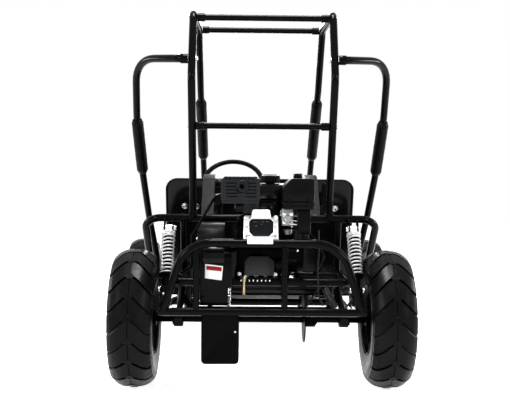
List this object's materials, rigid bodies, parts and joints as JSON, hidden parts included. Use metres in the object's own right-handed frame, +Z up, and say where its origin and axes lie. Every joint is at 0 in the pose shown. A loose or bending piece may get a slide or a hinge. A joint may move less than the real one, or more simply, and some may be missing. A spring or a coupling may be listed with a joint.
{
  "type": "off road go kart",
  "caption": "Bench-seat off-road go kart: tube chassis and roll cage, rear engine with chain drive to a sprung swing-arm axle, steered front wheels.",
  "frame": {"origin": "on the ground, at the middle of the kart's length and width", "axes": "+X to the kart's right as the driver sits, +Y forward, +Z up"},
  "size_m": [1.23, 1.7586, 1.3325],
  "materials": {
    "frame_paint": "satin black powder coat",
    "rim_paint": "satin black paint",
    "gloss_black": "gloss black",
    "heat_black": "matt heat-resisting black",
    "spring_white": "gloss white powder coat",
    "cast_grey": "cast, painted dark grey",
    "cast_aluminium": "cast, satin",
    "bare_steel": "zinc plated",
    "moulded_plastic": "fine texture",
    "black_rubber": "matt",
    "tyre_rubber": "matt",
    "foam": "covered foam",
    "seat_vinyl": "smooth",
    "webbing": "woven"
  },
  "bodies": {
    "chassis": {"main_frame": "frame_paint", "floor_pan": "frame_paint", "rear_bumper": "frame_paint", "cage_side_left": "frame_paint", "cage_side_right": "frame_paint", "cage_bar_rear_top": "frame_paint", "cage_bar_front_top": "frame_paint", "cage_bar_middle": "frame_paint", "side_bar_left": "frame_paint", "side_bar_right": "frame_paint", "pad_side_left": "foam", "pad_side_right": "foam", "pad_pillar_left": "foam", "pad_pillar_right": "foam", "seat_shell": "moulded_plastic", "seat_back_cushion": "seat_vinyl", "seat_base_cushion": "seat_vinyl", "belt_left": "webbing", "belt_right": "webbing", "engine_block": "cast_grey", "valve_cover": "cast_aluminium", "muffler": "heat_black", "fuel_tank": "gloss_black", "air_cleaner": "moulded_plastic", "carburettor": "cast_aluminium", "cvt_cover": "cast_grey", "drive_belt": "black_rubber", "chain_guard": "frame_paint", "mudflap": "black_rubber", "fuel_hose": "black_rubber"},
    "swing_arm": {"swing_arm": "frame_paint", "brake_caliper": "heat_black", "chain": "bare_steel"},
    "rear_axle": {"rear_axle": "bare_steel", "rear_rim_left": "rim_paint", "rear_tyre_left": "tyre_rubber", "rear_rim_right": "rim_paint", "rear_tyre_right": "tyre_rubber"},
    "jackshaft": {"jackshaft": "bare_steel"},
    "drive_pulley": {"drive_pulley": "bare_steel"},
    "steering": {"steering_shaft": "heat_black", "steering_wheel": "moulded_plastic"},
    "brake_pedal": {"brake_pedal": "heat_black"},
    "throttle_pedal": {"throttle_pedal": "heat_black"},
    "fuel_cap": {"fuel_cap": "moulded_plastic"},
    "recoil_handle": {"recoil_handle": "moulded_plastic"},
    "shock_body_left": {"shock_body_left": "heat_black", "shock_spring_left": "spring_white"},
    "shock_rod_left": {"shock_rod_left": "heat_black"},
    "knuckle_left": {"knuckle_left": "heat_black"},
    "front_wheel_left": {"front_rim_left": "rim_paint", "front_tyre_left": "tyre_rubber"},
    "tie_rod_left": {"tie_rod_left": "bare_steel"},
    "shock_body_right": {"shock_body_right": "heat_black", "shock_spring_right": "spring_white"},
    "shock_rod_right": {"shock_rod_right": "heat_black"},
    "knuckle_right": {"knuckle_right": "heat_black"},
    "front_wheel_right": {"front_rim_right": "rim_paint", "front_tyre_right": "tyre_rubber"},
    "tie_rod_right": {"tie_rod_right": "bare_steel"}
  },
  "joints": [
    {"name": "swing_arm_pivot", "type": "hinge", "parent": "chassis", "child": "swing_arm", "pos_m": [0, -0.42326, 0.335], "axis": [-1, 0, 0], "range_deg": [-4, 5], "stiffness_Nm_per_rad": 4000, "springref_deg": -2.12},
    {"name": "rear_axle_spin", "type": "hinge", "parent": "swing_arm", "child": "rear_axle", "pos_m": [0, -0.63826, 0.241], "axis": [1, 0, 0], "continuous": true},
    {"name": "jackshaft_spin", "type": "hinge", "parent": "chassis", "child": "jackshaft", "pos_m": [-0.176, -0.42326, 0.335], "axis": [1, 0, 0], "continuous": true},
    {"name": "drive_pulley_spin", "type": "hinge", "parent": "chassis", "child": "drive_pulley", "pos_m": [-0.176, -0.63826, 0.49], "axis": [1, 0, 0], "continuous": true},
    {"name": "steering_turn", "type": "hinge", "parent": "chassis", "child": "steering", "pos_m": [-0.11, 0.22374, 0.69], "axis": [0, 0.7071, -0.7071], "range_deg": [-30, 30]},
    {"name": "brake_pedal_pivot", "type": "hinge", "parent": "chassis", "child": "brake_pedal", "pos_m": [-0.185, 0.73374, 0.208], "axis": [-1, 0, 0], "range_deg": [0, 20], "stiffness_Nm_per_rad": 8, "springref_deg": -17.19},
    {"name": "throttle_pedal_pivot", "type": "hinge", "parent": "chassis", "child": "throttle_pedal", "pos_m": [-0.06, 0.73374, 0.208], "axis": [-1, 0, 0], "range_deg": [0, 25], "stiffness_Nm_per_rad": 4, "springref_deg": -17.19},
    {"name": "fuel_cap_turn", "type": "hinge", "parent": "chassis", "child": "fuel_cap", "pos_m": [0.028, -0.60226, 0.7173], "axis": [0, 0, 1], "range_deg": [0, 90]},
    {"name": "recoil_pull", "type": "slide", "parent": "chassis", "child": "recoil_handle", "axis": [0, 0, 1], "range_m": [0, 0.3]},
    {"name": "shock_body_pivot_left", "type": "hinge", "parent": "chassis", "child": "shock_body_left", "pos_m": [-0.334, -0.53326, 0.547], "axis": [-1, 0, 0], "range_deg": [-2.1, 2.7]},
    {"name": "shock_travel_left", "type": "slide", "parent": "shock_body_left", "child": "shock_rod_left", "axis": [0, 0.5412, 0.8409], "range_m": [-0.0152, 0.019], "deforming": ["shock_spring_left"]},
    {"name": "kingpin_left", "type": "hinge", "parent": "chassis", "child": "knuckle_left", "pos_m": [-0.455, 0.58174, 0.2], "axis": [0, 0, 1], "range_deg": [-25.5, 25.5]},
    {"name": "front_wheel_spin_left", "type": "hinge", "parent": "knuckle_left", "child": "front_wheel_left", "pos_m": [-0.545, 0.58174, 0.2], "axis": [1, 0, 0], "continuous": true},
    {"name": "tie_rod_travel_left", "type": "slide", "parent": "chassis", "child": "tie_rod_left", "axis": [1, 0, 0], "range_m": [-0.0345, 0.0345]},
    {"name": "shock_body_pivot_right", "type": "hinge", "parent": "chassis", "child": "shock_body_right", "pos_m": [0.334, -0.53326, 0.547], "axis": [-1, 0, 0], "range_deg": [-2.1, 2.7]},
    {"name": "shock_travel_right", "type": "slide", "parent": "shock_body_right", "child": "shock_rod_right", "axis": [0, 0.5412, 0.8409], "range_m": [-0.0152, 0.019], "deforming": ["shock_spring_right"]},
    {"name": "kingpin_right", "type": "hinge", "parent": "chassis", "child": "knuckle_right", "pos_m": [0.455, 0.58174, 0.2], "axis": [0, 0, 1], "range_deg": [-25.5, 25.5]},
    {"name": "front_wheel_spin_right", "type": "hinge", "parent": "knuckle_right", "child": "front_wheel_right", "pos_m": [0.545, 0.58174, 0.2], "axis": [1, 0, 0], "continuous": true},
    {"name": "tie_rod_travel_right", "type": "slide", "parent": "chassis", "child": "tie_rod_right", "axis": [1, 0, 0], "range_m": [-0.0345, 0.0345]}
  ],
  "couplings": [
    {"joint": "jackshaft_spin", "follows": "rear_axle_spin", "ratio": 3.8571},
    {"joint": "drive_pulley_spin", "follows": "rear_axle_spin", "ratio": 6.4286},
    {"joint": "shock_body_pivot_left", "follows": "swing_arm_pivot", "ratio": 0.506},
    {"joint": "shock_travel_left", "follows": "swing_arm_pivot", "m_per_rad": 0.2072},
    {"joint": "kingpin_left", "follows": "steering_turn", "ratio": -0.82},
    {"joint": "tie_rod_travel_left", "follows": "steering_turn", "m_per_rad": 0.0655},
    {"joint": "shock_body_pivot_right", "follows": "swing_arm_pivot", "ratio": 0.506},
    {"joint": "shock_travel_right", "follows": "swing_arm_pivot", "m_per_rad": 0.2072},
    {"joint": "kingpin_right", "follows": "steering_turn", "ratio": -0.82},
    {"joint": "tie_rod_travel_right", "follows": "steering_turn", "m_per_rad": 0.0655}
  ]
}
